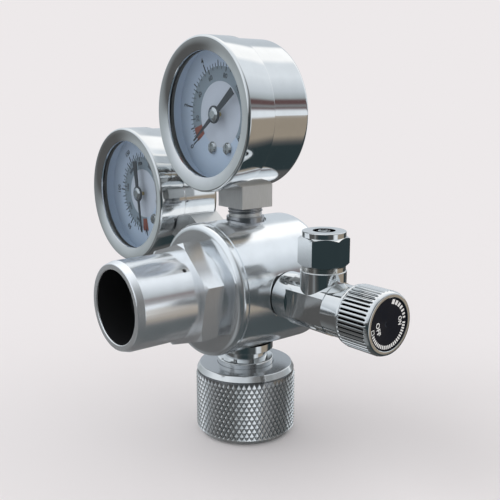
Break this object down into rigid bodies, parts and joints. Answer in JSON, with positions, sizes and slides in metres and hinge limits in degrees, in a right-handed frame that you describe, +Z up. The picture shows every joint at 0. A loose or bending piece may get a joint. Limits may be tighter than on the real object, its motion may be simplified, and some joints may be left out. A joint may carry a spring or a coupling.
{
  "type": "aquarium carbon dioxide regulator",
  "caption": "Gas regulator for aquarium carbon dioxide, with pressure gauges, a knurled inlet hand nut, a set-screw pressure adjuster in its bonnet and a side needle valve for the tube.",
  "frame": {"origin": "centre of the hand nut's mouth, on the inlet axis", "axes": "+Z up along the inlet axis, -Y the way the bonnet points, +X the way the needle valve points"},
  "size_m": [0.1188, 0.062, 0.1179],
  "materials": {
    "satin_nickel": "satin nickel plating over brass",
    "polished_chrome": "bright chrome plating over brass",
    "chromed_steel": "bright chrome plating over pressed steel",
    "brushed_nickel": "nickel plated brass with straight machining lines",
    "nickel_trim": "bright nickel",
    "spring_steel": "drawn spring wire",
    "bare_brass": "machined brass",
    "sintered_bronze": "sintered bronze, matte",
    "black_rubber": "black nitrile rubber",
    "white_nylon": "natural nylon",
    "black_enamel": "gloss black",
    "pointer_black": "satin black paint",
    "dial_white": "matte white enamel",
    "clear_window": "clear"
  },
  "bodies": {
    "regulator": {"regulator_body": "satin_nickel", "bonnet": "satin_nickel", "adjusting_spring": "spring_steel", "diaphragm": "black_rubber", "diaphragm_slip_ring": "bare_brass", "valve_seat": "bare_brass", "poppet_spring": "spring_steel", "inlet_nipple": "polished_chrome", "nipple_washer": "black_rubber", "inlet_filter": "sintered_bronze", "inlet_seal": "white_nylon", "valve_seal": "black_rubber", "valve_body": "polished_chrome", "gland_nut": "nickel_trim", "upper_gauge_case": "chromed_steel", "upper_gauge_bezel": "chromed_steel", "upper_gauge_window": "clear_window", "upper_gauge_window_gasket": "black_rubber", "upper_gauge_dial": "dial_white", "upper_gauge_dial_screws": "nickel_trim", "upper_gauge_stem": "brushed_nickel", "upper_gauge_pressure_tube": "bare_brass", "upper_gauge_movement_plates": "bare_brass", "upper_gauge_hairspring": "spring_steel", "upper_gauge_washer": "nickel_trim", "side_gauge_case": "chromed_steel", "side_gauge_bezel": "chromed_steel", "side_gauge_window": "clear_window", "side_gauge_window_gasket": "black_rubber", "side_gauge_dial": "dial_white", "side_gauge_dial_screws": "nickel_trim", "side_gauge_stem": "brushed_nickel", "side_gauge_pressure_tube": "bare_brass", "side_gauge_movement_plates": "bare_brass", "side_gauge_hairspring": "spring_steel", "side_gauge_washer": "nickel_trim"},
    "hand_nut": {"hand_nut": "polished_chrome"},
    "button_slide": {"spring_button": "bare_brass"},
    "adjuster": {"adjusting_screw": "spring_steel"},
    "poppet_stack": {"diaphragm_plate": "bare_brass", "poppet": "bare_brass"},
    "o_ring_slide": {"spindle_o_ring": "black_rubber"},
    "knob": {"needle_spindle": "nickel_trim", "knob": "polished_chrome", "knob_screw": "spring_steel", "knob_dial": "black_enamel"},
    "washer_slide": {"tube_nut_washer": "nickel_trim"},
    "tube_nut": {"tube_nut": "polished_chrome"},
    "upper_pointer": {"upper_gauge_pointer": "pointer_black", "upper_gauge_pointer_hub": "nickel_trim", "upper_gauge_pinion": "bare_brass"},
    "upper_sector": {"upper_gauge_sector_gear": "bare_brass"},
    "upper_link": {"upper_gauge_link": "bare_brass"},
    "side_pointer": {"side_gauge_pointer": "pointer_black", "side_gauge_pointer_hub": "nickel_trim", "side_gauge_pinion": "bare_brass"},
    "side_sector": {"side_gauge_sector_gear": "bare_brass"},
    "side_link": {"side_gauge_link": "bare_brass"}
  },
  "joints": [
    {"name": "hand_nut_swivel", "type": "hinge", "parent": "regulator", "child": "hand_nut", "pos_m": [0, 0, 0], "axis": [0, 0, 1], "continuous": true},
    {"name": "adjuster_advance", "type": "slide", "parent": "regulator", "child": "button_slide", "axis": [0, 1, 0], "range_m": [0, 0.00375], "deforming": ["adjusting_spring"]},
    {"name": "adjuster_turn", "type": "hinge", "parent": "button_slide", "child": "adjuster", "pos_m": [0, 0, 0.0464], "axis": [0, 1, 0], "range_deg": [0, 1080.05]},
    {"name": "poppet_lift", "type": "slide", "parent": "regulator", "child": "poppet_stack", "axis": [0, 1, 0], "range_m": [0, 0.0006], "deforming": ["diaphragm", "poppet_spring"]},
    {"name": "needle_advance", "type": "slide", "parent": "regulator", "child": "o_ring_slide", "axis": [1, 0, 0], "range_m": [0, 0.00225]},
    {"name": "knob_turn", "type": "hinge", "parent": "o_ring_slide", "child": "knob", "pos_m": [0.045, 0, 0.0464], "axis": [1, 0, 0], "range_deg": [0, 1080.05]},
    {"name": "tube_nut_rise", "type": "slide", "parent": "regulator", "child": "washer_slide", "axis": [0, 0, 1], "range_m": [0, 0.003]},
    {"name": "tube_nut_turn", "type": "hinge", "parent": "washer_slide", "child": "tube_nut", "pos_m": [0.03306, 0, 0.06], "axis": [0, 0, 1], "range_deg": [0, 1080.05]},
    {"name": "upper_pointer_turn", "type": "hinge", "parent": "regulator", "child": "upper_pointer", "pos_m": [0, -0.0061, 0.0964], "axis": [0, 1, 0], "range_deg": [0, 270], "deforming": ["upper_gauge_pressure_tube", "upper_gauge_hairspring"]},
    {"name": "upper_sector_turn", "type": "hinge", "parent": "regulator", "child": "upper_sector", "pos_m": [0, -0.0051, 0.08716], "axis": [0, 1, 0], "range_deg": [-45, 0]},
    {"name": "upper_link_swing", "type": "hinge", "parent": "upper_sector", "child": "upper_link", "pos_m": [-0.00123, -0.0037, 0.08378], "axis": [0, 1, 0], "range_deg": [0, 45]},
    {"name": "side_pointer_turn", "type": "hinge", "parent": "regulator", "child": "side_pointer", "pos_m": [-0.04088, -0.007, 0.07], "axis": [0, 1, 0], "range_deg": [0, 270], "deforming": ["side_gauge_pressure_tube", "side_gauge_hairspring"]},
    {"name": "side_sector_turn", "type": "hinge", "parent": "regulator", "child": "side_sector", "pos_m": [-0.03287, -0.006, 0.06538], "axis": [0, 1, 0], "range_deg": [-45, 0]},
    {"name": "side_link_swing", "type": "hinge", "parent": "side_sector", "child": "side_link", "pos_m": [-0.03056, -0.0046, 0.06262], "axis": [0, 1, 0], "range_deg": [0, 45]}
  ],
  "couplings": [
    {"joint": "adjuster_turn", "follows": "adjuster_advance", "rad_per_m": 5026.5},
    {"joint": "knob_turn", "follows": "needle_advance", "rad_per_m": 8377.6},
    {"joint": "tube_nut_turn", "follows": "tube_nut_rise", "rad_per_m": 6283.2},
    {"joint": "upper_sector_turn", "follows": "upper_pointer_turn", "ratio": -0.16667},
    {"joint": "upper_link_swing", "follows": "upper_pointer_turn", "ratio": 0.16667},
    {"joint": "side_sector_turn", "follows": "side_pointer_turn", "ratio": -0.16667},
    {"joint": "side_link_swing", "follows": "side_pointer_turn", "ratio": 0.16667}
  ]
}
